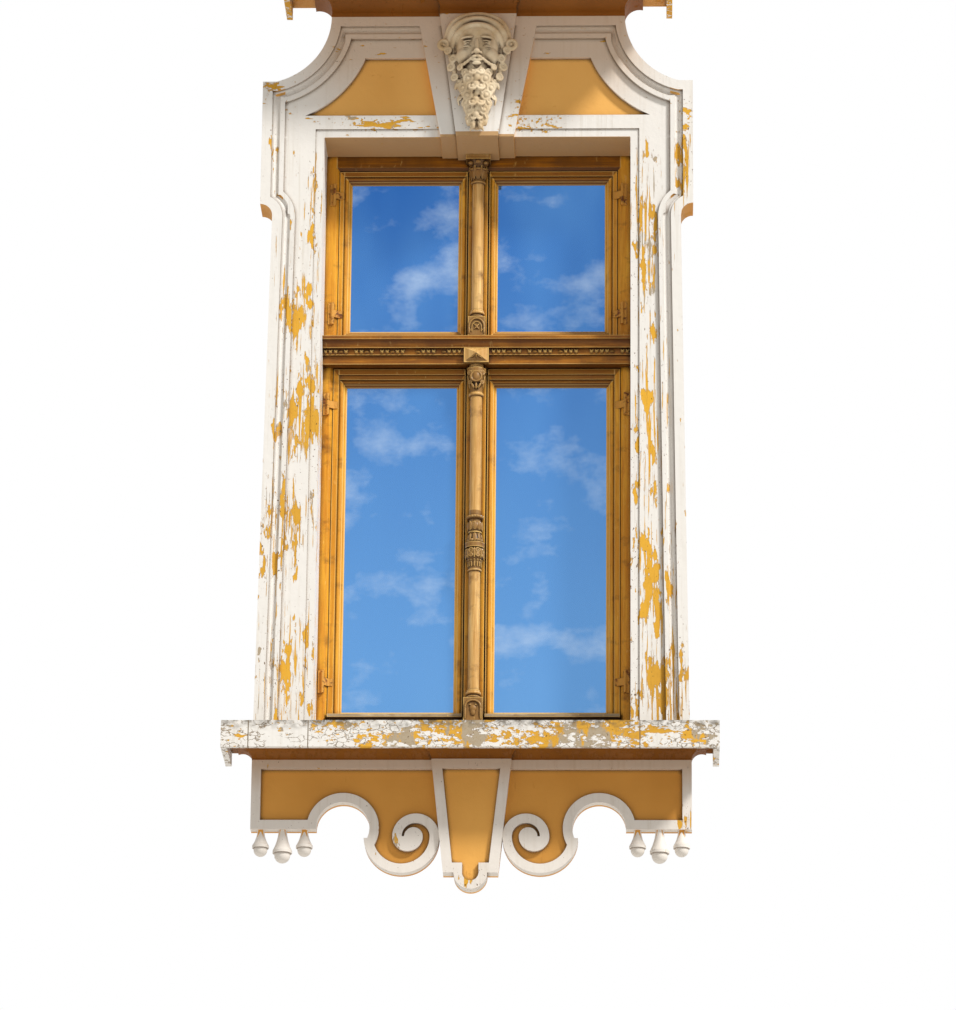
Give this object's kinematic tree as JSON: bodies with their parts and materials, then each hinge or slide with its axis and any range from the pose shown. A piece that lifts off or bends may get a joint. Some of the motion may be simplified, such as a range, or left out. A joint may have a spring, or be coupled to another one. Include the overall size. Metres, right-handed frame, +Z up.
{
  "type": "casement window",
  "caption": "Eared stucco window surround with a carved keystone, hood, sill and apron, and a glazed wooden window whose sashes open outwards.",
  "frame": {"origin": "on the wall's face, at the window's middle, level with the sill's underside", "axes": "+Z up, -Y towards the street, +Y into the wall and the room, +X to the right seen from the street"},
  "size_m": [1.63, 0.549, 3.291],
  "materials": {
    "white_stucco": "painted stucco, flaking",
    "apron_stucco": "painted stucco",
    "mask_stone": "matt",
    "hood_stucco": "weathered painted stucco",
    "bed_stucco": "painted stucco",
    "sill_stucco": "weathered painted stucco",
    "wood": "old varnish",
    "column_wood": "old varnish",
    "drip_wood": "weathered",
    "putty": "painted over",
    "glass": "clear",
    "hinge_iron": "rusty",
    "handle_metal": "satin"
  },
  "bodies": {
    "window": {"surround_jamb_left": "white_stucco", "surround_head_left": "white_stucco", "apron_left": "apron_stucco", "drop_left_1": "white_stucco", "drop_left_2": "white_stucco", "drop_left_3": "white_stucco", "frame_jamb_left": "wood", "surround_jamb_right": "white_stucco", "surround_head_right": "white_stucco", "apron_right": "apron_stucco", "drop_right_1": "white_stucco", "drop_right_2": "white_stucco", "drop_right_3": "white_stucco", "frame_jamb_right": "wood", "keystone": "white_stucco", "mask_head": "mask_stone", "hood_shelf": "hood_stucco", "hood_bed_mould": "bed_stucco", "sill": "sill_stucco", "sill_bed_mould": "bed_stucco", "apron_key": "apron_stucco", "frame_head": "wood", "frame_bottom_rail": "wood", "frame_transom": "wood", "frame_mullion_upper": "wood", "frame_mullion_lower": "wood", "transom_boss": "wood", "column_upper": "column_wood", "column_lower": "column_wood", "hinge_frame_lower_left": "hinge_iron", "hinge_frame_lower_right": "hinge_iron", "hinge_frame_upper_left": "hinge_iron", "hinge_frame_upper_right": "hinge_iron"},
    "lower_left_sash": {"sash_lower_left": "wood", "glass_lower_left": "glass", "putty_lower_left": "putty", "hinge_sash_lower_left": "hinge_iron", "handle_plate_lower_left": "handle_metal", "drip_board_left": "drip_wood"},
    "lower_left_handle": {"handle_lower_left": "handle_metal"},
    "lower_right_sash": {"sash_lower_right": "wood", "glass_lower_right": "glass", "putty_lower_right": "putty", "hinge_sash_lower_right": "hinge_iron", "handle_plate_lower_right": "handle_metal", "drip_board_right": "drip_wood"},
    "lower_right_handle": {"handle_lower_right": "handle_metal"},
    "upper_left_sash": {"sash_upper_left": "wood", "glass_upper_left": "glass", "putty_upper_left": "putty", "hinge_sash_upper_left": "hinge_iron", "handle_plate_upper_left": "handle_metal"},
    "upper_left_handle": {"handle_upper_left": "handle_metal"},
    "upper_right_sash": {"sash_upper_right": "wood", "glass_upper_right": "glass", "putty_upper_right": "putty", "hinge_sash_upper_right": "hinge_iron", "handle_plate_upper_right": "handle_metal"},
    "upper_right_handle": {"handle_upper_right": "handle_metal"}
  },
  "joints": [
    {"name": "lower_left_hinge", "type": "hinge", "parent": "window", "child": "lower_left_sash", "pos_m": [-0.505, 0.069, 0.808], "axis": [0, 0, -1], "range_deg": [0, 90]},
    {"name": "lower_left_handle_turn", "type": "hinge", "parent": "lower_left_sash", "child": "lower_left_handle", "pos_m": [-0.062, 0.14, 0.808], "axis": [0, 1, 0], "range_deg": [0, 90]},
    {"name": "lower_right_hinge", "type": "hinge", "parent": "window", "child": "lower_right_sash", "pos_m": [0.505, 0.069, 0.808], "axis": [0, 0, 1], "range_deg": [0, 90]},
    {"name": "lower_right_handle_turn", "type": "hinge", "parent": "lower_right_sash", "child": "lower_right_handle", "pos_m": [0.062, 0.14, 0.808], "axis": [0, -1, 0], "range_deg": [0, 90]},
    {"name": "upper_left_hinge", "type": "hinge", "parent": "window", "child": "upper_left_sash", "pos_m": [-0.495, 0.069, 1.848], "axis": [0, 0, -1], "range_deg": [0, 90]},
    {"name": "upper_left_handle_turn", "type": "hinge", "parent": "upper_left_sash", "child": "upper_left_handle", "pos_m": [-0.062, 0.14, 1.848], "axis": [0, 1, 0], "range_deg": [0, 90]},
    {"name": "upper_right_hinge", "type": "hinge", "parent": "window", "child": "upper_right_sash", "pos_m": [0.495, 0.069, 1.848], "axis": [0, 0, 1], "range_deg": [0, 90]},
    {"name": "upper_right_handle_turn", "type": "hinge", "parent": "upper_right_sash", "child": "upper_right_handle", "pos_m": [0.062, 0.14, 1.848], "axis": [0, -1, 0], "range_deg": [0, 90]}
  ]
}
